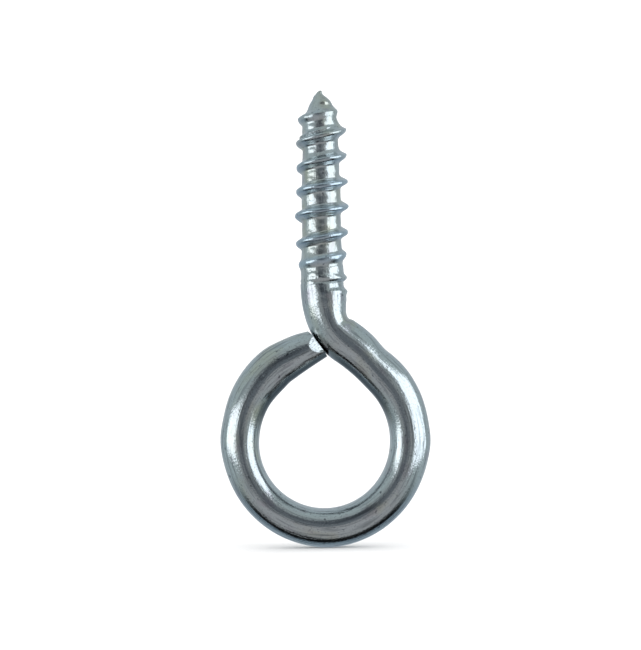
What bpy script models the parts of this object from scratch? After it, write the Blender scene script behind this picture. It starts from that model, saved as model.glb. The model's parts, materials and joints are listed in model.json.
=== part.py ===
"""Screw eye: an eye bolt for wood, bent cold from one length of zinc-plated steel wire.

The shank stands up along +Z, with a rolled right-hand wood thread and a gimlet point at its top. Below the
thread the wire leans over to +X, goes round the eye by way of its right side and its bottom, and comes back
up on the left, where its sheared end stops just short of the neck. The eye lies in the XZ plane and is centred
under the shank. The origin is on the shank's axis at the last thread, where the wood's surface comes.
"""

import math
from collections import namedtuple

import bmesh
import bpy
from mathutils import Vector

# Driving dimensions, in metres and degrees. WIRE is the drawn wire's radius, and the bends' radii are measured
# to the wire's axis. The angles are the wire's lean away from the shank's axis after each bend.
WIRE = 0.00263
TIP_Z = 0.02305
BEND_START_Z = 0.00016
LEAN_RADIUS = 0.0231
LEAN_ANGLE = 10.0
NECK_RADIUS = 0.00608
NECK_ANGLE = 56.2
SHOULDER_RADIUS = 0.0146
FLANK_ANGLE = 42.2
RIGHT_FLANK_RADIUS = 0.0110
EYE_RADIUS = 0.01035
EYE_OFFSET_X = 0.00010
LEFT_FLANK_RADIUS = 0.0117
LEFT_FLANK_ANGLE = 50.0
LAST_BEND_RADIUS = 0.0055
LAST_BEND_ANGLE = 62.0
END_RADIUS = 0.1
END_ANGLE = 66.0

# The wire's radius where the rolling and bending dies have squeezed or thickened it.
CORE = 0.00217
LAST_CORE = 0.00258
SHANK = 0.00267
RIGHT_FLANK = 0.00254
RIGHT_SIDE = 0.00243
LEFT_SIDE = 0.00232
LEFT_FLANK = 0.00249
SHEARED_END = 0.00185

# The core's outline from the gimlet point down to the first bend, as (height, radius).
CORE_PROFILE = (
    (TIP_Z, 0.00010),
    (TIP_Z - 0.0004, 0.00044),
    (TIP_Z - 0.0013, 0.00123),
    (TIP_Z - 0.0027, 0.00184),
    (TIP_Z - 0.0042, CORE),
    (0.0050, 0.00238),
    (BEND_START_Z, LAST_CORE),
)

# Rolled thread: turns are counted up from the last full ridge.
PITCH = 0.00296
CREST = 0.00315
FULL_RIDGE_Z = 0.00094
FULL_RIDGE_ANGLE = 72.0
FULL_TURNS = 6.0
FADE_TURNS = 0.55
RISE_TURNS = 1.0
RIDGE_ROOT = 0.00036
RIDGE_HEIGHT = CREST - CORE + RIDGE_ROOT
RIDGE_FOOT_HALF_WIDTH = 0.00076
RIDGE_CREST_HALF_WIDTH = 0.00022
SUNK_SHARE = -0.15

# The face that the shears leave at the wire's end: it faces the neck, turned a little to the front.
CUT_POINT = Vector((-0.00089, 0.0, -0.00800))
CUT_NORMAL = Vector((0.819, -0.26, 0.573))
CUT_RINGS = 6

CURVE_STEP = 0.0010
WELD_DISTANCE = 1e-7
WIRE_BEVEL_RESOLUTION = 6
RIDGE_STEPS_PER_TURN = 24

ZINC_COLOR = (0.56, 0.60, 0.60, 1.0)
ZINC_ROUGHNESS = 0.28

# An arc of the wire: its radius, its turn in degrees (positive towards +X), and the wire's radius at its end.
Bend = namedtuple("Bend", "radius turn wire")


def clear_scene():
    for obj in list(bpy.data.objects):
        bpy.data.objects.remove(obj, do_unlink=True)


def new_collection(name):
    collection = bpy.data.collections.new(name)
    bpy.context.scene.collection.children.link(collection)
    return collection


def zinc_plate():
    material = bpy.data.materials.new("zinc_plated_steel")
    material.use_nodes = True
    shader = material.node_tree.nodes["Principled BSDF"]
    shader.inputs["Base Color"].default_value = ZINC_COLOR
    shader.inputs["Metallic"].default_value = 1.0
    shader.inputs["Roughness"].default_value = ZINC_ROUGHNESS
    return material


def sine(degrees):
    return math.sin(math.radians(degrees))


def cosine(degrees):
    return math.cos(math.radians(degrees))


def core_radius(z):
    """The core's radius at this height, read from its outline."""
    for (upper, above), (lower, below) in zip(CORE_PROFILE, CORE_PROFILE[1:]):
        if z >= lower:
            return above + (below - above) * (upper - z) / (upper - lower)
    return LAST_CORE


def flank_length():
    """The straight stretch of the right flank that brings the eye's middle under the shank."""
    bends = LEAN_RADIUS * (1 - cosine(LEAN_ANGLE))
    bends += NECK_RADIUS * (cosine(LEAN_ANGLE) - cosine(NECK_ANGLE))
    bends += SHOULDER_RADIUS * (cosine(FLANK_ANGLE) - cosine(NECK_ANGLE))
    bends += RIGHT_FLANK_RADIUS * (1 - cosine(FLANK_ANGLE))
    return (EYE_OFFSET_X + EYE_RADIUS - bends) / sine(FLANK_ANGLE)


def direction(heading):
    """The unit vector at this angle from straight down, turned towards +X."""
    return Vector((sine(heading), 0.0, -cosine(heading)))


def arc_point(start, heading, radius, turn):
    """The point reached from the start, with this heading, by an arc that turns by this many degrees."""
    side = math.copysign(radius, turn)
    return start + side * (direction(heading + 90.0) - direction(heading + turn + 90.0))


def bend_stations(point, heading, wire, bends):
    """Yields (point, wire radius) along a chain of bends, with the last bend's end."""
    for bend in bends:
        steps = math.ceil(bend.radius * math.radians(abs(bend.turn)) / CURVE_STEP)
        for step in range(steps):
            part = step / steps
            yield arc_point(point, heading, bend.radius, bend.turn * part), wire + (bend.wire - wire) * part
        point = arc_point(point, heading, bend.radius, bend.turn)
        heading += bend.turn
        wire = bend.wire
    yield point, wire


def wire_stations():
    """All (point, wire radius) stations along the wire, from its tip to just past its sheared end."""
    above_flank = (
        Bend(LEAN_RADIUS, LEAN_ANGLE * 0.4, SHANK),
        Bend(LEAN_RADIUS, LEAN_ANGLE * 0.6, SHANK),
        Bend(NECK_RADIUS, NECK_ANGLE - LEAN_ANGLE, SHANK),
        Bend(SHOULDER_RADIUS, FLANK_ANGLE - NECK_ANGLE, RIGHT_FLANK),
    )
    below_flank = (
        Bend(RIGHT_FLANK_RADIUS, -FLANK_ANGLE, RIGHT_SIDE),
        Bend(EYE_RADIUS, -180.0, LEFT_SIDE),
        Bend(LEFT_FLANK_RADIUS, -LEFT_FLANK_ANGLE, LEFT_FLANK),
        Bend(LAST_BEND_RADIUS, LEFT_FLANK_ANGLE - LAST_BEND_ANGLE, LEFT_FLANK),
        Bend(END_RADIUS, LAST_BEND_ANGLE - END_ANGLE, SHEARED_END),
    )
    stations = [(Vector((0.0, 0.0, z)), radius) for z, radius in CORE_PROFILE[:-1]]
    stations += bend_stations(Vector((0.0, 0.0, BEND_START_Z)), 0.0, LAST_CORE, above_flank)
    flank_end = stations[-1][0] + flank_length() * direction(FLANK_ANGLE)
    stations += bend_stations(flank_end, FLANK_ANGLE, RIGHT_FLANK, below_flank)
    return stations


def ridge_stations():
    """Yields (point, ridge height as a share) up the right-hand helix, from its fade-out to the gimlet point."""
    steps = round((FADE_TURNS + FULL_TURNS + RISE_TURNS) * RIDGE_STEPS_PER_TURN)
    for step in range(steps + 1):
        turn = step / RIDGE_STEPS_PER_TURN - FADE_TURNS
        faded = 1.0 + turn / FADE_TURNS
        risen = 1.0 - (turn - FULL_TURNS) / RISE_TURNS
        share = max(SUNK_SHARE, min(1.0, faded, risen))
        angle = FULL_RIDGE_ANGLE + 360.0 * turn
        z = FULL_RIDGE_Z + PITCH * turn
        core = core_radius(z)
        foot = core - RIDGE_ROOT
        height = RIDGE_ROOT + (CREST - core) * share
        if core < CORE:
            height = RIDGE_ROOT + (CREST - CORE) * share
        yield Vector((foot * cosine(angle), foot * sine(angle), z)), height / RIDGE_HEIGHT


def poly_curve(name, stations, full_radius):
    """A tube-to-be: an open POLY spline whose points carry their radius as a share of full_radius."""
    curve = bpy.data.curves.new(name, "CURVE")
    curve.dimensions = "3D"
    curve.use_fill_caps = True
    spline = curve.splines.new("POLY")
    spline.points.add(len(stations) - 1)
    for spline_point, (point, radius) in zip(spline.points, stations):
        spline_point.co = (*point, 1.0)
        spline_point.radius = radius / full_radius
    return curve


def mesh_from_curve(name, curve_object, collection):
    """Turns the curve into a mesh object of this name, with its caps welded on, and removes the curve."""
    bpy.context.view_layer.update()
    evaluated = curve_object.evaluated_get(bpy.context.evaluated_depsgraph_get())
    mesh = bpy.data.meshes.new_from_object(evaluated)
    mesh.name = name
    work = bmesh.new()
    work.from_mesh(mesh)
    bmesh.ops.remove_doubles(work, verts=work.verts, dist=WELD_DISTANCE)
    bmesh.ops.recalc_face_normals(work, faces=work.faces)
    work.to_mesh(mesh)
    work.free()
    solid = bpy.data.objects.new(name, mesh)
    solid.matrix_world = curve_object.matrix_world
    collection.objects.link(solid)
    bpy.data.objects.remove(curve_object, do_unlink=True)
    return solid


def make_wire(collection):
    """The smooth wire, from the gimlet point to its sheared end."""
    stations = wire_stations()
    curve = poly_curve("wire_curve", stations, WIRE)
    curve.bevel_depth = WIRE
    curve.bevel_resolution = WIRE_BEVEL_RESOLUTION
    guide = bpy.data.objects.new("wire_curve", curve)
    collection.objects.link(guide)
    wire = mesh_from_curve("screw_eye", guide, collection)
    shear(wire.data, stations[-CUT_RINGS][0])
    return wire


def shear(mesh, near_end):
    """Cuts the wire's last rings, and not the neck beside them, along the shear plane, and closes the cut."""
    work = bmesh.new()
    work.from_mesh(mesh)
    faces = {min(work.faces, key=lambda face: (face.calc_center_median() - near_end).length)}
    for _ in range(CUT_RINGS):
        faces |= {near for face in faces for vert in face.verts for near in vert.link_faces}
    edges = {edge for face in faces for edge in face.edges}
    verts = {vert for face in faces for vert in face.verts}
    last_rings = [part for group in (verts, edges, faces) for part in sorted(group, key=by_index)]
    bmesh.ops.bisect_plane(work, geom=last_rings, plane_co=CUT_POINT, plane_no=CUT_NORMAL, clear_outer=True)
    bmesh.ops.contextual_create(work, geom=[edge for edge in work.edges if edge.is_boundary])
    bmesh.ops.recalc_face_normals(work, faces=work.faces)
    work.to_mesh(mesh)
    work.free()


def by_index(part):
    return part.index


def ridge_profile(collection):
    """The ridge's section: X is outwards from the helix, Y is along the shank."""
    curve = bpy.data.curves.new("ridge_profile", "CURVE")
    curve.dimensions = "2D"
    corners = (
        (0.0, -RIDGE_FOOT_HALF_WIDTH),
        (RIDGE_HEIGHT, -RIDGE_CREST_HALF_WIDTH),
        (RIDGE_HEIGHT, RIDGE_CREST_HALF_WIDTH),
        (0.0, RIDGE_FOOT_HALF_WIDTH),
    )
    spline = curve.splines.new("POLY")
    spline.points.add(len(corners) - 1)
    for point, corner in zip(spline.points, corners):
        point.co = (*corner, 0.0, 1.0)
    spline.use_cyclic_u = True
    profile = bpy.data.objects.new("ridge_profile", curve)
    collection.objects.link(profile)
    return profile


def make_ridge(cutters):
    """The thread's ridge alone, which is joined to the wire's core."""
    curve = poly_curve("ridge_curve", list(ridge_stations()), 1.0)
    curve.twist_mode = "Z_UP"
    curve.bevel_mode = "OBJECT"
    profile = ridge_profile(cutters)
    curve.bevel_object = profile
    guide = bpy.data.objects.new("ridge_curve", curve)
    cutters.objects.link(guide)
    ridge = mesh_from_curve("thread_ridge", guide, cutters)
    bpy.data.objects.remove(profile, do_unlink=True)
    ridge.hide_render = True
    ridge.display_type = "WIRE"
    return ridge


def main():
    clear_scene()
    parts = new_collection("screw_eye_parts")
    cutters = new_collection("cutters")
    wire = make_wire(parts)
    thread = wire.modifiers.new("rolled_thread", "BOOLEAN")
    thread.operation = "UNION"
    thread.solver = "EXACT"
    thread.object = make_ridge(cutters)
    wire.data.materials.append(zinc_plate())
    wire.data.shade_smooth()


main()
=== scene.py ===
"""Looks of a screw eye: an eye bolt for wood, bent cold from one length of zinc-plated steel wire.

The whole object is one piece. A blank is drawn out from a circle and bent round as the real wire
is, the thread is rolled into it, the bends are pressed to their worked width, the tools' marks are
sunk in, and its end is sheared.

The row frame's +Z runs up the shank to the point, and -Y is the front. An angle round the wire is 0
on the side that is +X on the shank and outside on the eye, and minus a quarter turn at the front.
"""

import json
import logging
import math
from dataclasses import dataclass, field
from enum import Enum
from typing import Any, Sequence

import bpy
import numpy as np
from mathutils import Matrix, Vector

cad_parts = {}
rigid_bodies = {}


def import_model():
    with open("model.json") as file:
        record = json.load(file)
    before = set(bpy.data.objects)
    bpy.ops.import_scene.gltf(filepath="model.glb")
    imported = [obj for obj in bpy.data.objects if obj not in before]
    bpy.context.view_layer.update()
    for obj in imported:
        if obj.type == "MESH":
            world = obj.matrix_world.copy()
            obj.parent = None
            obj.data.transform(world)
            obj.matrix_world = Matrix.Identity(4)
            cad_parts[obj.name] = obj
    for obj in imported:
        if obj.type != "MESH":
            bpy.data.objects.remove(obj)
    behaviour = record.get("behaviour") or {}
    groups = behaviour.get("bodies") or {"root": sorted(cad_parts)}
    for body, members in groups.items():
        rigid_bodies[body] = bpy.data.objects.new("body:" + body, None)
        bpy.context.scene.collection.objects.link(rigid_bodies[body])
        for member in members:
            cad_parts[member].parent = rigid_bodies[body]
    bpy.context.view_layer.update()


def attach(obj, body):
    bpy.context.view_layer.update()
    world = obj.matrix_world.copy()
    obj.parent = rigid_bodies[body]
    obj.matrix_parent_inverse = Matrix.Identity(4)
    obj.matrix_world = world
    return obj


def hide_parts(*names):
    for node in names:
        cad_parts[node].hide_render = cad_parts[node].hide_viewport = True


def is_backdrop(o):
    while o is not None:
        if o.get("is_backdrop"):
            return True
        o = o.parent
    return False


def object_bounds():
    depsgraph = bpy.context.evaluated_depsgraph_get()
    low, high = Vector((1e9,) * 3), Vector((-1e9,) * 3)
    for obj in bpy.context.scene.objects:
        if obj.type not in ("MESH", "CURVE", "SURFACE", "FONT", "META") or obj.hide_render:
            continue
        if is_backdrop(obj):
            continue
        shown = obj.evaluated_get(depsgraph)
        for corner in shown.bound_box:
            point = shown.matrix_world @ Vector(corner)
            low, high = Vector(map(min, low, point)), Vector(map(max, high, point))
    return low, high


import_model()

LOG = logging.getLogger("screw_eye")
MM = 0.001
SIDES = 128
# A length in millimetres that is too short to matter, for comparing places along the wire.
HAIR = 1e-6
Knots = Sequence[tuple[float, float]]
Span = tuple[float, float]
Ring = tuple[Vector, float, float]
Socket = bpy.types.NodeSocket
Tree = bpy.types.NodeTree
# A colour mix's sockets, which share their names with its number and vector ones.
MIX_UNDER, MIX_OVER, MIX_COLOUR = 6, 7, 2


def deselect_all() -> None:
    """Leaves nothing selected, so that an operator acts only on what is picked next."""
    for obj in bpy.context.view_layer.objects:
        obj.select_set(False)


def linear(hex_colour: str) -> tuple[float, float, float, float]:
    """Turns an sRGB hex colour into the linear colour that a node takes.

    Args:
        hex_colour: Six hex digits after a #.

    Returns:
        Red, green, blue and an alpha of one.
    """
    parts = [int(hex_colour[i : i + 2], 16) / 255 for i in (1, 3, 5)]
    red, green, blue = (c / 12.92 if c <= 0.04045 else ((c + 0.055) / 1.055) ** 2.4 for c in parts)
    return (red, green, blue, 1.0)


def add_node(tree: Tree, kind: str, inputs: dict[Any, Any], **settings: Any) -> bpy.types.Node:
    """Adds a node, sets it and links it.

    Args:
        tree: The node tree.
        kind: The node's type name.
        inputs: A value or an output socket for each input, by name or number.
        settings: The node's own properties.

    Returns:
        The new node.
    """
    node = tree.nodes.new(kind)
    for name, value in settings.items():
        setattr(node, name, value)
    for key, value in inputs.items():
        if isinstance(value, Socket):
            tree.links.new(value, node.inputs[key])
        else:
            node.inputs[key].default_value = value
    return node


def through(at: np.ndarray, knots: Knots) -> np.ndarray:
    """Reads a smooth curve that passes through the knots and is held level beyond its ends.

    Args:
        at: Where it is read.
        knots: Its places, rising, and its values there.

    Returns:
        The values.
    """
    places, values = (np.array(column, float) for column in zip(*knots))
    slopes = np.gradient(values, places)
    clipped = np.clip(at, places[0], places[-1])
    i = np.clip(np.searchsorted(places, clipped) - 1, 0, len(places) - 2)
    span = places[i + 1] - places[i]
    t = (clipped - places[i]) / span
    start = (1 + 2 * t) * (1 - t) ** 2 * values[i] + t * (1 - t) ** 2 * span * slopes[i]
    return start + t * t * (3 - 2 * t) * values[i + 1] + t * t * (t - 1) * span * slopes[i + 1]


def ease(at: np.ndarray, start: float, end: float) -> np.ndarray:
    """Rises smoothly from 0 at start to 1 at end."""
    t = np.clip((at - start) / (end - start), 0, 1)
    return t * t * (3 - 2 * t)


def bump(at: np.ndarray, width: float) -> np.ndarray:
    """A soft bump of height 1 at zero, this wide to each side."""
    return np.exp(-((at / width) ** 2))


def direction(heading: float) -> Vector:
    """The unit vector at this many degrees from straight down, turned towards +X."""
    return Vector((math.sin(math.radians(heading)), 0.0, -math.cos(math.radians(heading))))


def read_points(mesh: bpy.types.Mesh) -> np.ndarray:
    """Reads a mesh's points.

    Args:
        mesh: The mesh.

    Returns:
        Its points, in millimetres.
    """
    flat = np.empty(len(mesh.vertices) * 3, np.float32)
    mesh.vertices.foreach_get("co", flat)
    return flat.reshape(-1, 3).astype(float) / MM


def keep_values(mesh: bpy.types.Mesh, name: str, values: np.ndarray) -> None:
    """Keeps a number or a vector at each of a mesh's points, for the finish to read.

    Args:
        mesh: The mesh.
        name: The attribute's name.
        values: One row for each point.
    """
    kind, key = ("FLOAT", "value") if values.ndim == 1 else ("FLOAT_VECTOR", "vector")
    layer = mesh.attributes.new(name, kind, "POINT")
    layer.data.foreach_set(key, values.astype(np.float32).ravel())


@dataclass(frozen=True)
class Bend:
    """One cold bend of the wire, in millimetres and degrees; a turn towards +X is positive."""

    radius: float
    turn: float

    def centre(self, start: Vector, heading: float) -> Vector:
        """Where the bending tool's post stands, for a wire that arrives here with this heading."""
        return start + math.copysign(self.radius, self.turn) * direction(heading + 90)


@dataclass
class Skin:
    """The wire's surface in its own terms, in millimetres.

    For each point: its run along the wire and its angle round it, its ring's middle and the
    direction of the ring's side, its share of the wire's radius, how far across and deep it is, and
    how thick the film is there, from 0 to 1.
    """

    run: np.ndarray
    angle: np.ndarray
    middle: np.ndarray
    side: np.ndarray
    share: np.ndarray
    across: np.ndarray
    deep: np.ndarray
    crest: np.ndarray

    def points(self) -> np.ndarray:
        """The surface's points in the row frame, in metres."""
        place = self.middle + self.side * self.across[:, None]
        place[:, 1] += self.deep
        return place * MM

    def swell(self, amount: np.ndarray) -> None:
        """Moves each point outwards from the wire's axis.

        Args:
            amount: How far each point moves, in millimetres.
        """
        self.across += amount * np.cos(self.angle) * self.share
        self.deep += amount * np.sin(self.angle) * self.share


@dataclass
class DrawnWire:
    """The smooth wire from its tip to its end, drawn out of a circle and bent round the eye.

    Lengths are in millimetres. Each ring has its middle, its heading and how far along it is.
    """

    wire: float = 2.63
    tip: float = 23.05
    straight: float = 22.89
    row: float = 0.1
    bend_row: float = 0.22
    end_row: float = 0.12
    flank: float = 2.901
    to_flank: tuple[Bend, ...] = (Bend(23.1, 10.0), Bend(6.08, 46.2), Bend(14.6, -14.0))
    round_eye: tuple[Bend, ...] = (
        Bend(11.0, -42.2),
        Bend(10.35, -180.0),
        Bend(11.7, -50.0),
        Bend(5.5, -12.0),
    )
    to_end: Bend = Bend(100.0, -4.0)
    rings: list[Ring] = field(default_factory=list, init=False)

    def build(self, name: str) -> tuple[bpy.types.Object, Skin]:
        """Draws and bends the wire.

        Args:
            name: The piece's name.

        Returns:
            The piece, and its surface in the wire's own terms.
        """
        deselect_all()
        bpy.ops.mesh.primitive_circle_add(
            vertices=SIDES,
            radius=self.wire * MM,
            fill_type="TRIFAN",
            location=(0, 0, self.tip * MM),
        )
        piece = bpy.context.active_object
        piece.name = piece.data.name = name
        bpy.ops.object.transform_apply(location=True)
        bpy.ops.object.mode_set(mode="EDIT")
        bpy.ops.mesh.select_mode(type="EDGE")
        bpy.ops.mesh.select_all(action="DESELECT")
        bpy.ops.mesh.select_non_manifold(
            use_wire=False, use_multi_face=False, use_non_contiguous=False
        )
        self.rings = [(Vector((0, 0, self.tip)), 0.0, 0.0)]
        self.draw(self.straight, self.row)
        for bend in self.to_flank:
            self.bend(bend, self.bend_row)
        self.draw(self.flank, self.bend_row)
        for bend in self.round_eye:
            self.bend(bend, self.bend_row)
        self.bend(self.to_end, self.end_row)
        bpy.ops.mesh.edge_face_add()
        bpy.ops.mesh.select_all(action="SELECT")
        bpy.ops.mesh.normals_make_consistent(inside=False)
        bpy.ops.object.mode_set(mode="OBJECT")
        return piece, self.skin(piece.data)

    def draw(self, length: float, row: float) -> None:
        """Draws the wire straight on.

        Args:
            length: How far, in millimetres.
            row: About how far apart its rows of faces are.
        """
        start, heading, run = self.rings[-1]
        steps = max(1, round(length / row))
        offset = direction(heading) * (length / steps)
        bpy.ops.mesh.extrude_repeat(steps=steps, offset=offset * MM, scale_offset=1.0)
        for step in range(1, steps + 1):
            self.rings.append((start + offset * step, heading, run + length * step / steps))

    def bend(self, bend: Bend, row: float) -> None:
        """Bends the wire on round a post.

        Args:
            bend: The bend.
            row: About how far apart its rows of faces are.
        """
        start, heading, run = self.rings[-1]
        length = bend.radius * math.radians(abs(bend.turn))
        steps = max(2, round(length / row))
        centre = bend.centre(start, heading)
        bpy.ops.mesh.spin(
            steps=steps, angle=math.radians(bend.turn), center=centre * MM, axis=(0, 1, 0)
        )
        side = math.copysign(bend.radius, bend.turn)
        for step in range(1, steps + 1):
            turned = heading + bend.turn * step / steps
            middle = centre - side * direction(turned + 90)
            self.rings.append((middle, turned, run + length * step / steps))

    def skin(self, mesh: bpy.types.Mesh) -> Skin:
        """Reads the bent blank's surface in the wire's own terms.

        Args:
            mesh: The blank's mesh, whose points come ring by ring after the tip's circle.

        Returns:
            The surface.
        """
        points = read_points(mesh)
        ring = np.maximum(0, 1 + (np.arange(len(points)) - (SIDES + 1)) // SIDES)
        middles = np.array([tuple(middle) for middle, _, _ in self.rings])[ring]
        sides = np.array([tuple(direction(heading + 90)) for _, heading, _ in self.rings])[ring]
        runs = np.array([run for _, _, run in self.rings])[ring]
        offset = points - middles
        across = (offset * sides).sum(axis=1)
        angle = np.arctan2(offset[:, 1], across)
        share = np.hypot(offset[:, 1], across) / self.wire
        crest = np.zeros(len(points))
        return Skin(runs, angle, middles, sides, share, across, offset[:, 1].copy(), crest)


@dataclass(frozen=True)
class RidgeSide:
    """One side of the thread's ridge: its reach in millimetres, and how square it falls.

    Both change by a given amount where the crest is sharp.
    """

    reach: float
    sharp_reach: float
    square: float
    sharp_square: float

    def fall(self, away: np.ndarray, sharp: np.ndarray) -> np.ndarray:
        """How much of the ridge is left on this side.

        Args:
            away: How far each point is from the crest's line.
            sharp: How sharp the crest is there, from 0 to 1.

        Returns:
            The share of the ridge, from 1 at its line down to 0.
        """
        reach = self.reach + self.sharp_reach * sharp
        return np.exp(-((away / reach) ** (self.square + self.sharp_square * sharp)))


@dataclass(frozen=True)
class Fold:
    """A fold beside an upper turn's crest: its share of the ridge, its rise and its reach."""

    share: float
    rise: float
    reach: float


@dataclass(frozen=True)
class DieMark:
    """A mark round the shank, in millimetres: how far out it stands, at what height, and how tall.

    The last two are how strongly it keeps to the right side and to the front, and 0 is not at all.
    """

    out: float
    height: float
    tall: float
    on_right: int = 0
    on_front: int = 0


@dataclass(frozen=True)
class Burr:
    """A small burr by the gimlet point, in millimetres, with its angle and width in radians."""

    out: float
    height: float
    tall: float
    angle: float
    wide: float


@dataclass
class RunOut:
    """The marks where the dies leave the wire, below the last full ridge.

    They end this far along the wire, in millimetres. The front and the lap's start are in degrees
    round it. The lap is a shallow seam that climbs round the wire, and the rates of the wave and of
    the mottling are round the wire, and up it.
    """

    end: float = 27.0
    front: float = -55.0
    marks: tuple[DieMark, ...] = (
        DieMark(0.34, 0.23, 0.42, on_right=2),
        DieMark(0.32, -1.62, 0.42, on_right=2),
        DieMark(0.13, -2.55, 0.75, on_right=1),
        DieMark(-0.06, -0.75, 0.40, on_right=1),
        DieMark(-0.14, -0.28, 0.13, on_front=3),
        DieMark(-0.05, -0.30, 0.12),
    )
    lap: DieMark = DieMark(-0.07, 1.28, 0.14, on_front=2)
    lap_climb: float = 0.46
    lap_start: float = -80.0
    wave: DieMark = DieMark(0.05, 0.6, 0.8)
    wave_rate: float = 3.1
    wave_shift: float = 1.0
    mottle: DieMark = DieMark(0.022, 0.5, 0.7, on_front=1)
    mottle_first: Span = (11.0, 2.6)
    mottle_second: Span = (4.0, 7.0)

    def swell_at(self, angle: np.ndarray, z: np.ndarray) -> np.ndarray:
        """How far the marks move the surface.

        Args:
            angle: Each point's angle round the shank.
            z: Each point's height.

        Returns:
            How far each point moves out, in millimetres.
        """
        right = 0.5 + 0.5 * np.cos(angle)
        front = 0.5 + 0.5 * np.cos(angle - math.radians(self.front))

        def left_by(mark: DieMark, at: np.ndarray) -> np.ndarray:
            """What one mark adds, where its own height is read from this."""
            sides = right**mark.on_right * front**mark.on_front
            return mark.out * sides * bump(at - mark.height, mark.tall)

        swell = sum(left_by(mark, z) for mark in self.marks)
        swell += left_by(self.lap, z - self.lap_climb * (angle - math.radians(self.lap_start)))
        swell += np.sin(self.wave_rate * angle + self.wave_shift) * left_by(self.wave, z)
        mottled = np.ones(len(z))
        for round_rate, rise_rate in (self.mottle_first, self.mottle_second):
            mottled *= np.sin(round_rate * angle + rise_rate * z)
        return swell + mottled * left_by(self.mottle, z)


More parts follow.
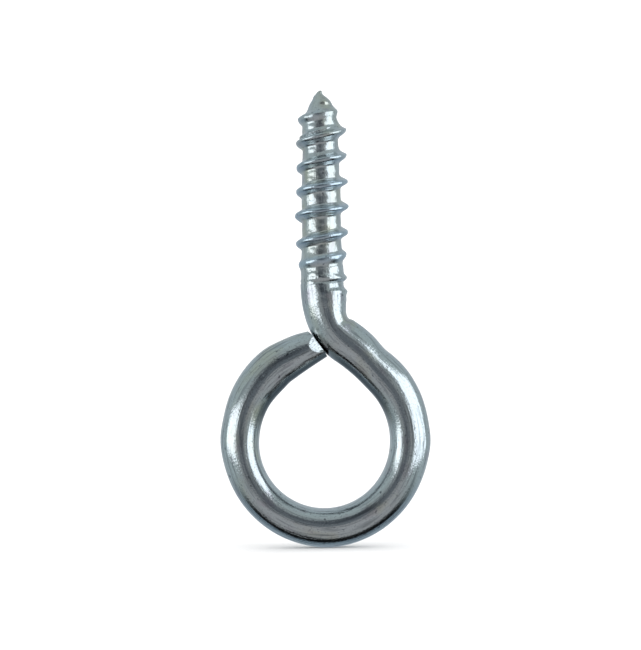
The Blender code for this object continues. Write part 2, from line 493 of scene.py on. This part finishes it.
@dataclass
class RolledThread:
    """The wood thread: a core, a right-hand ridge, its run-out and a gimlet point.

    Turns are counted up the shank. The ridge is on the +X side at whole turns, and on the -X side
    between them. Each place in its table has its turn, its height and its crest's radius, in
    millimetres. The core's table has heights and radii. The upper turns are sharper on the right,
    with a lip folded beside the crest and a seam under the lip.
    """

    ridge: tuple[tuple[float, float, float], ...] = (
        (-0.5, 1.80, 2.86),
        (0.0, 3.10, 3.00),
        (0.5, 4.46, 3.15),
        (1.0, 5.80, 3.24),
        (1.5, 7.77, 3.23),
        (2.0, 8.95, 3.34),
        (2.5, 10.75, 3.05),
        (3.0, 11.93, 3.27),
        (3.5, 13.63, 2.98),
        (4.0, 15.32, 3.18),
        (4.5, 16.63, 2.99),
        (5.0, 18.36, 3.18),
        (5.5, 19.52, 2.70),
        (6.0, 20.64, 2.04),
        (6.5, 21.60, 1.55),
    )
    core: Knots = (
        (-1.0, 2.66),
        (0.4, 2.63),
        (1.2, 2.60),
        (2.6, 2.53),
        (3.6, 2.46),
        (5.2, 2.38),
        (7.3, 2.37),
        (10.2, 2.39),
        (13.4, 2.27),
        (16.2, 2.17),
        (19.4, 2.08),
        (20.2, 1.86),
        (21.0, 1.50),
        (21.8, 1.12),
        (22.35, 0.70),
        (22.6, 0.43),
        (22.9, 0.28),
        (23.05, 0.10),
    )
    flattened: float = 0.10
    point_lean: Knots = (
        (19.6, 0.0),
        (20.6, 0.10),
        (21.2, 0.08),
        (21.9, 0.10),
        (22.6, -0.08),
        (23.05, 0.06),
    )
    passes: tuple[int, int] = (-1, 8)
    begins: Span = (-0.80, -0.45)
    ends: Span = (6.0, 6.35)
    wobble: float = 0.03
    wobble_rate: float = 9.1
    upper: Span = (3.3, 4.2)
    point_side: RidgeSide = RidgeSide(0.48, -0.14, 2.8, -1.7)
    eye_side: RidgeSide = RidgeSide(0.54, 0.28, 2.8, 0.4)
    lip_fades: Span = (4.8, 5.2)
    lip: Fold = Fold(0.48, 0.62, 0.20)
    seam: Fold = Fold(0.22, 0.34, 0.13)
    clear_film: float = 0.7
    crumple: float = 0.007
    crumple_waves: tuple[tuple[int, float, float], ...] = (
        (3, 2.3, 0.4),
        (5, -1.35, 2.1),
        (7, 0.93, 4.0),
        (4, -0.71, 5.2),
        (9, 1.7, 1.1),
    )
    smooth_tip: Span = (22.9, 21.9)
    burr: Burr = Burr(0.15, 21.65, 0.32, -1.1, 0.55)
    run_out: RunOut = field(default_factory=RunOut)

    def roll(self, skin: Skin) -> None:
        """Rolls the thread into the straight end of the wire.

        Args:
            skin: The wire's surface.
        """
        z, angle = skin.middle[:, 2], skin.angle
        on_shank = skin.run <= DrawnWire.straight + HAIR
        core = through(z, self.core)
        radius = core.copy()
        turn_at = angle / (2 * math.pi)
        for count in range(*self.passes):
            height, film = self.ridge_at(turn_at + count, z, core)
            radius = np.maximum(radius, core + height)
            skin.crest = np.maximum(skin.crest, np.where(on_shank, film, 0.0))
        burr = bump(z - self.burr.height, self.burr.tall)
        burr *= bump(angle - self.burr.angle, self.burr.wide)
        crumples = self.crumples(angle, z) * ease(z, *self.smooth_tip)
        skin.swell(np.where(on_shank, radius - DrawnWire.wire, 0.0))
        skin.swell(np.where(skin.run < self.run_out.end, self.run_out.swell_at(angle, z), 0.0))
        skin.swell(np.where(on_shank, crumples, 0.0))
        skin.swell(np.where(on_shank, self.burr.out * burr, 0.0))
        skin.across += np.where(on_shank, through(z, self.point_lean), 0.0)

    def ridge_at(
        self, turn: np.ndarray, z: np.ndarray, core: np.ndarray
    ) -> tuple[np.ndarray, np.ndarray]:
        """How far the ridge's given turn stands above the core.

        Args:
            turn: The turn that passes over each point.
            z: Each point's height.
            core: The core's radius there.

        Returns:
            The height in millimetres, and how thick the film is there, from 0 to 1.
        """
        line = through(turn, [(t, height) for t, height, _ in self.ridge])
        full = through(turn, [(t, crest) for t, _, crest in self.ridge])
        full -= self.flattened * np.sin(2 * math.pi * turn) ** 2
        present = ease(turn, *self.begins) * (1 - ease(turn, *self.ends))
        above = z - line - self.wobble * np.sin(turn * self.wobble_rate)
        upper_turns = ease(turn, *self.upper)
        right = 0.5 + 0.5 * np.cos(2 * math.pi * turn)
        sharp, away = upper_turns * right, np.abs(above)
        towards_point = self.point_side.fall(away, sharp)
        share = np.where(above > 0, towards_point, self.eye_side.fall(away, sharp))
        folded = upper_turns * (1 - ease(turn, *self.lip_fades)) * (1 - right**2)
        lip = self.lip.share * folded * bump(above - self.lip.rise, self.lip.reach)
        seam = self.seam.share * folded * bump(above - self.seam.rise, self.seam.reach)
        share = np.maximum(share * (1 - seam), lip)
        height = np.maximum(full - core, 0.0) * present
        return height * share, share * present * (1 - self.clear_film * upper_turns)

    def crumples(self, angle: np.ndarray, z: np.ndarray) -> np.ndarray:
        """The uneven flow of the metal between the ridges.

        Args:
            angle: Each point's angle round the shank.
            z: Each point's height.

        Returns:
            How far each point moves out, in millimetres.
        """
        waves = np.zeros(len(z))
        for round_waves, length, shift in self.crumple_waves:
            waves += np.sin(round_waves * angle + 2 * math.pi * z / length + shift)
        return self.crumple * waves


@dataclass
class WorkedSection:
    """How wide the bending tools leave the wire, and how they crowd it towards a bend's post.

    Each table runs along the wire, in millimetres: its radius on the side that is outside on the
    eye and on the other side, its radius in depth, and the share by which it is crowded.
    """

    plus: Knots = (
        (22.9, 2.62),
        (26.0, 2.64),
        (27.2, 2.52),
        (28.6, 2.36),
        (29.15, 2.38),
        (29.7, 2.62),
        (31.0, 2.82),
        (33.4, 2.72),
        (35.4, 2.52),
        (36.6, 2.69),
        (37.8, 2.78),
        (41.0, 2.66),
        (44.6, 2.46),
        (46.4, 2.48),
        (48.5, 2.33),
        (54.0, 2.29),
        (57.5, 2.36),
        (62.6, 2.46),
        (66.4, 2.36),
        (71.5, 2.25),
        (76.5, 2.24),
        (79.5, 2.40),
        (81.6, 2.35),
        (84.0, 2.47),
        (91.5, 2.50),
        (93.5, 2.32),
        (95.1, 1.98),
        (97.3, 1.75),
    )
    minus: Knots = (
        (22.9, 2.68),
        (25.9, 2.67),
        (28.2, 2.53),
        (31.3, 2.52),
        (34.0, 2.50),
        (36.3, 2.38),
        (43.0, 2.43),
        (48.0, 2.50),
        (52.0, 2.50),
        (57.0, 2.41),
        (62.5, 2.32),
        (72.0, 2.29),
        (79.0, 2.33),
        (84.5, 2.44),
        (88.7, 2.60),
        (90.3, 2.46),
        (92.0, 2.24),
        (94.5, 1.94),
        (97.3, 1.60),
    )
    depth: Knots = (
        (22.9, 2.63),
        (31.0, 2.60),
        (38.0, 2.52),
        (48.0, 2.46),
        (76.0, 2.40),
        (88.0, 2.48),
        (93.0, 2.3),
        (97.3, 1.8),
    )
    crowding: Knots = (
        (23.0, 0.0),
        (29.0, -0.08),
        (34.0, 0.0),
        (40.0, 0.10),
        (48.0, 0.14),
        (76.0, 0.10),
        (86.0, 0.05),
        (92.0, 0.0),
    )
    # Painted shade: which side and which runs of the wire get a dark tint that stands in for the
    # shade between the limbs near the neck.
    shaded_side: Span = (0.50, 0.92)
    first_shaded: tuple[Span, Span] = ((29.0, 33.0), (40.0, 46.0))
    last_shaded: Span = (79.0, 84.0)

    def press(self, skin: Skin) -> None:
        """Presses the bent part of the wire to its worked width.

        Args:
            skin: The wire's surface.
        """
        bent = skin.run > DrawnWire.straight + HAIR
        cosine, sine = np.cos(skin.angle), np.sin(skin.angle)
        width = np.where(cosine > 0, through(skin.run, self.plus), through(skin.run, self.minus))
        depth = through(skin.run, self.depth) * (1 - through(skin.run, self.crowding) * cosine)
        skin.across += np.where(bent, (width - DrawnWire.wire) * cosine * skin.share, 0.0)
        skin.deep += np.where(bent, (depth - DrawnWire.wire) * sine * skin.share, 0.0)

    def crotch_shade_at(self, skin: Skin) -> np.ndarray:
        """Where painted shade darkens the inside of the eye's shoulders and of the end by the neck,
        standing in for the shade between the facing limbs.

        Args:
            skin: The wire's surface.

        Returns:
            The share of painted shade at each point, from 0 to 1.
        """
        inside = ease(-np.cos(skin.angle), *self.shaded_side)
        begins, ends = self.first_shaded
        first = ease(skin.run, *begins) * (1 - ease(skin.run, *ends))
        return inside * np.maximum(first, ease(skin.run, *self.last_shaded))


@dataclass(frozen=True)
class Dent:
    """A small mark that a tool or a fall left on the front or the back.

    Its place, its half sizes and its depth are in millimetres, and its tilt is in degrees.
    """

    x: float
    z: float
    long: float
    wide: float
    tilt: float
    depth: float
    front: bool = True


@dataclass
class ToolMarks:
    """Pits, nicks and the bender's rubs on the wire."""

    dents: tuple[Dent, ...] = (
        Dent(-3.20, -7.10, 0.70, 0.28, 10, 0.10),
        Dent(-6.85, -14.20, 0.50, 0.22, 50, 0.09),
        Dent(-7.35, -11.60, 0.18, 0.14, 0, 0.06),
        Dent(12.05, -20.10, 0.28, 0.14, 80, 0.07),
        Dent(7.60, -15.20, 0.16, 0.12, 0, 0.05),
        Dent(-0.50, -6.20, 0.24, 0.14, 60, 0.05),
        Dent(-0.15, -6.85, 0.20, 0.12, 40, 0.05),
        Dent(2.40, -27.90, 0.60, 0.20, 10, 0.05),
        Dent(-4.10, -30.60, 0.40, 0.16, -30, 0.05, False),
        Dent(9.90, -14.90, 0.80, 0.30, 60, 0.06, False),
        Dent(-9.70, -16.80, 0.60, 0.25, 70, 0.07, False),
    )
    side_from: float = 0.2

    def strike(self, skin: Skin) -> None:
        """Sinks the marks into the surface.

        Args:
            skin: The wire's surface.
        """
        place = skin.points() / MM
        for dent in self.dents:
            outward = -place[:, 1] if dent.front else place[:, 1]
            facing = outward > self.side_from
            dx, dz = place[:, 0] - dent.x, place[:, 2] - dent.z
            turn = math.radians(dent.tilt)
            along = dx * math.cos(turn) + dz * math.sin(turn)
            over = dz * math.cos(turn) - dx * math.sin(turn)
            skin.swell(-dent.depth * facing * bump(along, dent.long) * bump(over, dent.wide))


@dataclass
class ShearedEnd:
    """The end that the shears leave: a facet pinched into its front, and a face towards the neck.

    Lengths are in millimetres. The facet ends at a ledge. The pinch and the cut each start this far
    along the wire, which keeps them off the neck.
    """

    point: Vector = Vector((-0.65, 0.0, -7.84))
    normal: Vector = Vector((0.806, 0.10, 0.591))
    facet_point: Vector = Vector((-1.34, -2.03, -8.14))
    facet_normal: Vector = Vector((0.40, -0.87, 0.27))
    ledge_point: Vector = Vector((-1.20, 0.0, -8.96))
    ledge_slope: float = 0.30
    ledge_edge: float = 0.08
    pinched_from: float = 90.0
    cut_from: float = 92.0
    reach: float = 4.0
    weld: float = 1e-4

    def pinch(self, skin: Skin) -> None:
        """Presses the facet into the front of the end, down to the ledge below it.

        Args:
            skin: The wire's surface.
        """
        place = skin.points() / MM
        normal = np.array(self.facet_normal.normalized())
        proud = np.maximum((place - np.array(self.facet_point)) @ normal, 0.0)
        ledge = self.ledge_point.z + self.ledge_slope * (place[:, 0] - self.ledge_point.x)
        above = ease(place[:, 2] - ledge, -self.ledge_edge, self.ledge_edge)
        moved = -(proud * above * (skin.run > self.pinched_from))[:, None] * normal
        skin.middle += moved * np.array((1.0, 0.0, 1.0))
        skin.deep += moved[:, 1]

    def shear(self, piece: bpy.types.Object) -> None:
        """Cuts the wire's end, and leaves the neck beside it whole.

        Args:
            piece: The bent wire.
        """
        mesh = piece.data
        past_cut = (read_points(mesh) - np.array(self.point)) @ np.array(self.normal.normalized())
        run = np.empty(len(mesh.vertices), np.float32)
        mesh.attributes["wire_run"].data.foreach_get("value", run)
        near = (run > self.cut_from) & (past_cut > -self.reach)
        mesh.polygons.foreach_set("select", np.zeros(len(mesh.polygons), bool))
        mesh.edges.foreach_set("select", np.zeros(len(mesh.edges), bool))
        mesh.vertices.foreach_set("select", near)
        bpy.ops.object.mode_set(mode="EDIT")
        bpy.ops.mesh.select_mode(type="VERT")
        bpy.ops.mesh.bisect(
            plane_co=self.point * MM,
            plane_no=self.normal,
            use_fill=True,
            clear_outer=True,
            threshold=self.weld * MM,
        )
        bpy.ops.object.mode_set(mode="OBJECT")


@dataclass(frozen=True)
class Grit:
    """A noise in the finish: how wide and long its blobs are, and how many finer layers it has."""

    wide: float
    long: float
    layers: float


@dataclass(frozen=True)
class ZincPlate:
    """Bright electroplated zinc on drawn steel wire, with a clear blue chromate film.

    A hard, grey-white mirror, a little blue, drawn lengthwise by the wire die and grained by the
    plating. The film goes blue where it is thick, on the thread's crests, and straw or violet where
    it pooled. Lengths are in millimetres, and each span of values goes from where a share is 0 to
    where it is full.
    """

    metal: str = "#D3D9DB"
    blue: str = "#C8D6E1"
    straw: str = "#D3D2C0"
    violet: str = "#C4C0C8"
    soot: str = "#777C81"
    # Painted shade: the dark tint laid inside the eye near the neck in place of the shade there.
    painted_crotch_shade: str = "#454E53"
    roughness: float = 0.09
    smoother: float = 0.03
    rougher: float = 0.05
    rolled: float = 0.09
    streak: Grit = Grit(0.22, 6.0, 2.0)
    dirt: Grit = Grit(0.33, 4.2, 3.0)
    grain: Grit = Grit(0.20, 0.20, 2.0)
    pit: Grit = Grit(0.42, 0.672, 1.0)
    patch: Grit = Grit(2.6, 5.2, 3.0)
    haze: Grit = Grit(1.56, 2.6, 2.0)
    thread_ends: Span = (21.0, 24.5)
    thread_dirt: float = 0.35
    pooled_share: Span = (0.42, 0.85)
    patch_share: Span = (0.54, 0.80)
    haze_share: Span = (0.58, 0.80)
    dirt_share: Span = (0.51, 0.86)
    grain_share: Span = (0.57, 0.92)
    pit_share: Span = (0.69, 0.80)
    painted_shade_span: Span = (0.0, 1.08)
    streak_values: Span = (0.3, 0.7)
    streak_depth: float = 0.020
    grain_depth: float = 0.017

    def material(self) -> bpy.types.Material:
        """Builds the finish.

        Returns:
            The material, which reads the piece's own wire coordinates.
        """
        finish = bpy.data.materials.new("bright_zinc_plated_steel")
        finish.use_nodes = True
        tree = finish.node_tree
        shader = tree.nodes["Principled BSDF"]
        wire = self.kept(tree, "straight_wire", "Vector")
        streaks = self.noise(tree, wire, self.streak)
        grain = self.noise(tree, wire, self.grain)
        along = add_node(tree, "ShaderNodeSeparateXYZ", {0: wire}).outputs["Z"]
        worked = self.share(tree, along, tuple(place * MM for place in self.thread_ends))
        threaded = add_node(
            tree, "ShaderNodeMath", {0: 1.0, 1: worked}, operation="SUBTRACT"
        ).outputs[0]
        shader.inputs["Metallic"].default_value = 1.0
        colour = self.colour(tree, wire, grain, worked, threaded)
        tree.links.new(colour, shader.inputs["Base Color"])
        tree.links.new(self.polish(tree, streaks, threaded), shader.inputs["Roughness"])
        tree.links.new(self.relief(tree, streaks, grain), shader.inputs["Normal"])
        return finish

    def colour(
        self, tree: Tree, wire: Socket, grain: Socket, worked: Socket, threaded: Socket
    ) -> Socket:
        """Lays the film's tints, the dirt and the painted shade by the neck over the metal.

        Args:
            tree: The node tree.
            wire: The wire's own coordinates.
            grain: The plating's grain.
            worked: 0 on the thread and 1 beyond it.
            threaded: 1 on the thread and 0 beyond it.

        Returns:
            The colour.
        """
        patches = self.noise(tree, wire, self.patch)
        haze = self.noise(tree, wire, self.haze)
        dirt = self.noise(tree, wire, self.dirt)
        pits = self.noise(tree, wire, self.pit)
        crest = self.kept(tree, "ridge_share", "Fac")
        # Where painted shade darkens the inside of the eye near the neck.
        painted_crotch_shade = self.kept(tree, "painted_shade_share", "Fac")
        clean = add_node(
            tree,
            "ShaderNodeMath",
            {0: worked, 1: 1 - self.thread_dirt, 2: self.thread_dirt},
            operation="MULTIPLY_ADD",
        ).outputs[0]
        layers = (
            (self.straw, self.share(tree, patches, self.pooled_share, threaded)),
            (self.straw, self.share(tree, patches, self.patch_share)),
            (self.violet, self.share(tree, haze, self.haze_share)),
            (self.blue, crest),
            (self.soot, self.share(tree, dirt, self.dirt_share, clean)),
            (self.soot, self.share(tree, grain, self.grain_share, clean)),
            (self.soot, self.share(tree, pits, self.pit_share)),
            # Painted shade inside the eye near the neck.
            (self.painted_crotch_shade, self.share(tree, painted_crotch_shade, self.painted_shade_span)),
        )
        under: Any = linear(self.metal)
        for tint, share in layers:
            mixed = add_node(
                tree,
                "ShaderNodeMix",
                {"Factor": share, MIX_UNDER: under, MIX_OVER: linear(tint)},
                data_type="RGBA",
            )
            under = mixed.outputs[MIX_COLOUR]
        return under

    def polish(self, tree: Tree, streaks: Socket, threaded: Socket) -> Socket:
        """The roughness, which varies with the drawing lines and is higher on the thread.

        Args:
            tree: The node tree.
            streaks: The drawing lines.
            threaded: 1 on the thread and 0 beyond it.

        Returns:
            The roughness.
        """
        low, high = self.streak_values
        drawn = add_node(
            tree,
            "ShaderNodeMapRange",
            {
                "Value": streaks,
                "From Min": low,
                "From Max": high,
                "To Min": self.roughness - self.smoother,
                "To Max": self.roughness + self.rougher,
            },
        ).outputs["Result"]
        return add_node(
            tree,
            "ShaderNodeMath",
            {0: threaded, 1: self.rolled, 2: drawn},
            operation="MULTIPLY_ADD",
        ).outputs[0]

    def relief(self, tree: Tree, streaks: Socket, grain: Socket) -> Socket:
        """The fine relief: the drawing lines, and the plating's grain over them.

        Args:
            tree: The node tree.
            streaks: The drawing lines.
            grain: The grain.

        Returns:
            The normal.
        """
        drawn = add_node(
            tree,
            "ShaderNodeBump",
            {"Strength": 1.0, "Distance": self.streak_depth * MM, "Height": streaks},
        )
        return add_node(
            tree,
            "ShaderNodeBump",
            {
                "Strength": 1.0,
                "Distance": self.grain_depth * MM,
                "Height": grain,
                "Normal": drawn.outputs["Normal"],
            },
        ).outputs["Normal"]

    @staticmethod
    def kept(tree: Tree, name: str, output: str) -> Socket:
        """Reads what the piece keeps at its points under this name."""
        return add_node(tree, "ShaderNodeAttribute", {}, attribute_name=name).outputs[output]

    @staticmethod
    def noise(tree: Tree, wire: Socket, grit: Grit) -> Socket:
        """Adds a noise of a real size.

        Args:
            tree: The node tree.
            wire: The wire's own coordinates.
            grit: Its size and layers.

        Returns:
            Its value.
        """
        scale = [1 / (length * MM) for length in (grit.wide, grit.wide, grit.long)]
        scaled = add_node(tree, "ShaderNodeMapping", {"Vector": wire, "Scale": scale})
        return add_node(
            tree,
            "ShaderNodeTexNoise",
            {"Vector": scaled.outputs["Vector"], "Scale": 1.0, "Detail": grit.layers},
        ).outputs["Fac"]

    @staticmethod
    def share(tree: Tree, value: Socket, span: Span, times: Any = 1.0) -> Socket:
        """Turns a value into a share.

        Args:
            tree: The node tree.
            value: What it reads.
            span: The values where the share is 0 and where it is full.
            times: What the share is multiplied by.

        Returns:
            The share.
        """
        low, high = span
        spread = add_node(
            tree, "ShaderNodeMapRange", {"Value": value, "From Min": low, "From Max": high}
        )
        return add_node(
            tree, "ShaderNodeMath", {0: spread.outputs["Result"], 1: times}, operation="MULTIPLY"
        ).outputs[0]


@dataclass
class ScrewEye:
    """The whole screw eye, which is one length of wire."""

    wire: DrawnWire
    thread: RolledThread
    section: WorkedSection
    marks: ToolMarks
    end: ShearedEnd
    plate: ZincPlate
    crease: float = 48.0

    def build(self) -> bpy.types.Object:
        """Makes the piece in the order of its manufacture.

        Returns:
            The finished piece.
        """
        piece, skin = self.wire.build("screw_eye_wire")
        self.thread.roll(skin)
        self.section.press(skin)
        self.marks.strike(skin)
        self.end.pinch(skin)
        self.write(piece.data, skin)
        self.end.shear(piece)
        deselect_all()
        piece.select_set(True)
        bpy.context.view_layer.objects.active = piece
        bpy.ops.object.mode_set(mode="EDIT")
        bpy.ops.mesh.select_all(action="SELECT")
        bpy.ops.mesh.normals_make_consistent(inside=False)
        bpy.ops.object.mode_set(mode="OBJECT")
        bpy.ops.object.shade_smooth_by_angle(angle=math.radians(self.crease))
        piece.data.materials.append(self.plate.material())
        return piece

    def write(self, mesh: bpy.types.Mesh, skin: Skin) -> None:
        """Writes the worked surface into the mesh, with what the shears and the finish read.

        Args:
            mesh: The blank's mesh.
            skin: The worked surface.
        """
        mesh.vertices.foreach_set("co", skin.points().astype(np.float32).ravel())
        radius = np.hypot(skin.across, skin.deep)
        straight = (radius * np.cos(skin.angle), radius * np.sin(skin.angle), skin.run)
        keep_values(mesh, "straight_wire", np.stack(straight, axis=1) * MM)
        keep_values(mesh, "wire_run", skin.run)
        keep_values(mesh, "ridge_share", skin.crest)
        # Painted shade near the neck, for the finish to read.
        keep_values(mesh, "painted_shade_share", self.section.crotch_shade_at(skin))
        mesh.update()


class Side(Enum):
    """Which side of the object a softbox stands on."""

    LEFT = -1
    RIGHT = 1


@dataclass(frozen=True)
class Softbox:
    """A soft light beside the camera.

    It stands this far round and up, in degrees, and its size is in metres. Its glow is its radiance.
    """

    side: Side
    round: float
    up: float
    width: float
    height: float
    glow: float
    colour: str

    def place(self, centre: Vector, distance: float) -> None:
        """Puts the softbox up, facing the object.

        Args:
            centre: The object's middle.
            distance: How far off it stands.
        """
        light = bpy.data.lights.new(f"softbox_{self.side.name.lower()}", "AREA")
        light.shape = "RECTANGLE"
        light.size, light.size_y = self.width, self.height
        light.energy = self.glow * math.pi * self.width * self.height
        light.color = linear(self.colour)[:3]
        turn, lift = math.radians(self.round), math.radians(self.up)
        away = Vector(
            (
                self.side.value * math.sin(turn) * math.cos(lift),
                -math.cos(turn) * math.cos(lift),
                math.sin(lift),
            )
        )
        lamp = bpy.data.objects.new(light.name, light)
        lamp.location = centre + away * distance
        lamp.rotation_euler = away.to_track_quat("Z", "Y").to_euler()
        lamp.visible_camera = False
        bpy.context.scene.collection.objects.link(lamp)


@dataclass(frozen=True)
class DimPatch:
    """A dim patch of the room, round a direction. Its edge and its core are cosines from there."""

    towards: tuple[float, float, float]
    edge: float
    core: float
    colour: str

    def lay(self, tree: Tree, facing: Socket, room: Socket) -> Socket:
        """Lays the patch over the room.

        Args:
            tree: The node tree.
            facing: The direction that is looked in.
            room: The room's colour.

        Returns:
            The room's colour with the patch on it.
        """
        near = add_node(
            tree, "ShaderNodeVectorMath", {0: facing, 1: self.towards}, operation="DOT_PRODUCT"
        ).outputs["Value"]
        share = add_node(
            tree,
            "ShaderNodeMapRange",
            {"Value": near, "From Min": self.edge, "From Max": self.core},
            interpolation_type="SMOOTHSTEP",
        ).outputs["Result"]
        return add_node(
            tree,
            "ShaderNodeMix",
            {"Factor": share, MIX_UNDER: room, MIX_OVER: linear(self.colour)},
            data_type="RGBA",
        ).outputs[MIX_COLOUR]


@dataclass
class Studio:
    """The plain studio: pale floor, softboxes, dim surround and camera.

    The two ramps give the room's colour from straight in front of the object, at 0, to straight
    behind it, at 1: one for the sides and the top, and one for the low part, which starts and is
    full where a direction, seen from the front, points this much up. Lengths are in metres, and
    the aim is in millimetres.
    """

    softboxes: tuple[Softbox, ...] = (
        Softbox(Side.LEFT, 60.5, -1.0, 0.440, 0.225, 1.3, "#F3F7FA"),
        Softbox(Side.RIGHT, 66.5, 8.0, 0.515, 0.48, 1.22, "#F2F8FF"),
    )
    distance: float = 0.5
    floor_size: float = 12.0
    floor_shade: float = 0.9
    floor_roughness: float = 0.9
    above: tuple[tuple[float, str], ...] = (
        (0.0, "#8A8B8B"),
        (0.10, "#98A0A2"),
        (0.35, "#AAB7B9"),
        (0.7, "#A6B3B8"),
        (1.0, "#B9C2C8"),
    )
    below: tuple[tuple[float, str], ...] = (
        (0.0, "#9C9D9F"),
        (0.09, "#A5A7AA"),
        (0.33, "#9A9C9E"),
        (0.39, "#101214"),
        (0.54, "#0C0E10"),
        (0.61, "#7F909C"),
        (1.0, "#AEBAC4"),
    )
    low_part: Span = (-0.35, -0.75)
    patches: tuple[DimPatch, ...] = (
        DimPatch((-0.05, -0.978, 0.203), 0.865, 0.975, "#646A70"),
        DimPatch((-0.14, -0.921, 0.363), 0.95, 0.995, "#464C52"),
    )
    white: float = 1.3
    lens: float = 135.0
    view_height: float = 0.07908
    roll: float = 0.01326
    aim: Vector = Vector((-0.28, 0.0, -5.47))
    clip: Span = (0.01, 50.0)

    def build(self) -> None:
        """Puts the whole studio up round the object."""
        low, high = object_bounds()
        centre = (low + high) / 2
        for softbox in self.softboxes:
            softbox.place(centre, self.distance)
        self.lay_floor(low.z)
        self.surround()
        self.set_camera()
        bpy.context.scene.view_settings.view_transform = "Standard"

    def lay_floor(self, height: float) -> None:
        """Lays the pale floor under the eye.

        Args:
            height: The floor's height.
        """
        deselect_all()
        bpy.ops.mesh.primitive_plane_add(size=self.floor_size, location=(0, 0, height))
        floor = bpy.context.active_object
        floor.name = "floor"
        pale = bpy.data.materials.new("pale_floor")
        pale.use_nodes = True
        shader = pale.node_tree.nodes["Principled BSDF"]
        shader.inputs["Base Color"].default_value = (*(self.floor_shade,) * 3, 1.0)
        shader.inputs["Roughness"].default_value = self.floor_roughness
        shader.inputs["Specular IOR Level"].default_value = 0.0
        floor.data.materials.append(pale)
        floor.visible_glossy = False
        floor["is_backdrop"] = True

    def surround(self) -> None:
        """Builds the surround: white all round, and a dim room in the metal's reflections."""
        world = bpy.data.worlds.new("studio_surround")
        bpy.context.scene.world = world
        world.use_nodes = True
        tree = world.node_tree
        tree.nodes.clear()
        dim = add_node(tree, "ShaderNodeBackground", {"Color": self.room(tree), "Strength": 1.0})
        white = add_node(
            tree, "ShaderNodeBackground", {"Color": (1, 1, 1, 1), "Strength": self.white}
        )
        rays = add_node(tree, "ShaderNodeLightPath", {})
        mixed = add_node(
            tree,
            "ShaderNodeMixShader",
            {0: rays.outputs["Is Glossy Ray"], 1: white.outputs[0], 2: dim.outputs[0]},
        )
        add_node(tree, "ShaderNodeOutputWorld", {"Surface": mixed.outputs[0]})

    def room(self, tree: Tree) -> Socket:
        """Builds the dim room.

        Args:
            tree: The node tree.

        Returns:
            The room's colour in each direction.
        """
        towards = add_node(tree, "ShaderNodeTexCoord", {}).outputs["Generated"]
        parts = add_node(tree, "ShaderNodeSeparateXYZ", {0: towards})
        x, y, z = (parts.outputs[axis] for axis in "XYZ")
        behind = self.maths(tree, "MULTIPLY_ADD", y, 0.5, 0.5)
        across = self.maths(tree, "MULTIPLY", x, x)
        length = self.maths(tree, "POWER", self.maths(tree, "MULTIPLY_ADD", z, z, across), 0.5)
        upward = self.maths(tree, "DIVIDE", z, length)
        start, full = self.low_part
        low = add_node(
            tree,
            "ShaderNodeMapRange",
            {"Value": upward, "From Min": start, "From Max": full},
            interpolation_type="SMOOTHSTEP",
        ).outputs["Result"]
        room = add_node(
            tree,
            "ShaderNodeMix",
            {
                "Factor": low,
                MIX_UNDER: self.ramp(tree, behind, self.above),
                MIX_OVER: self.ramp(tree, behind, self.below),
            },
            data_type="RGBA",
        ).outputs[MIX_COLOUR]
        for patch in self.patches:
            room = patch.lay(tree, towards, room)
        return room

    @staticmethod
    def maths(tree: Tree, operation: str, *terms: Any) -> Socket:
        """Works out an operation on values and output sockets."""
        return add_node(
            tree, "ShaderNodeMath", dict(enumerate(terms)), operation=operation
        ).outputs[0]

    @staticmethod
    def ramp(tree: Tree, value: Socket, stops: Sequence[tuple[float, str]]) -> Socket:
        """Adds a colour ramp.

        Args:
            tree: The node tree.
            value: What it reads.
            stops: Its places and hex colours, in order.

        Returns:
            Its colour.
        """
        node = add_node(tree, "ShaderNodeValToRGB", {0: value})
        points = node.color_ramp.elements
        while len(points) < len(stops):
            points.new(0.5)
        for point, (place, colour) in zip(points, stops):
            point.position = place
            point.color = linear(colour)
        return node.outputs[0]

    def set_camera(self) -> None:
        """Sets the level camera in front of the eye's face."""
        data = bpy.data.cameras.new("camera")
        data.lens = self.lens
        data.clip_start, data.clip_end = self.clip
        camera = bpy.data.objects.new("camera", data)
        back = self.view_height * self.lens / data.sensor_width
        camera.location = self.aim * MM + Vector((0.0, -back, 0.0))
        camera.rotation_euler = (math.pi / 2, self.roll, 0.0)
        bpy.context.scene.collection.objects.link(camera)
        bpy.context.scene.camera = camera


def main() -> None:
    """Builds the screw eye and its studio, and reports each piece."""
    logging.basicConfig(level=logging.INFO, format="%(name)s: %(message)s")
    screw_eye = ScrewEye(
        DrawnWire(), RolledThread(), WorkedSection(), ToolMarks(), ShearedEnd(), ZincPlate()
    )
    piece = screw_eye.build()
    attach(piece, "root")
    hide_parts("screw_eye")
    LOG.info("%s: %d faces", piece.name, len(piece.data.polygons))
    Studio().build()


if __name__ == "__main__":
    main()
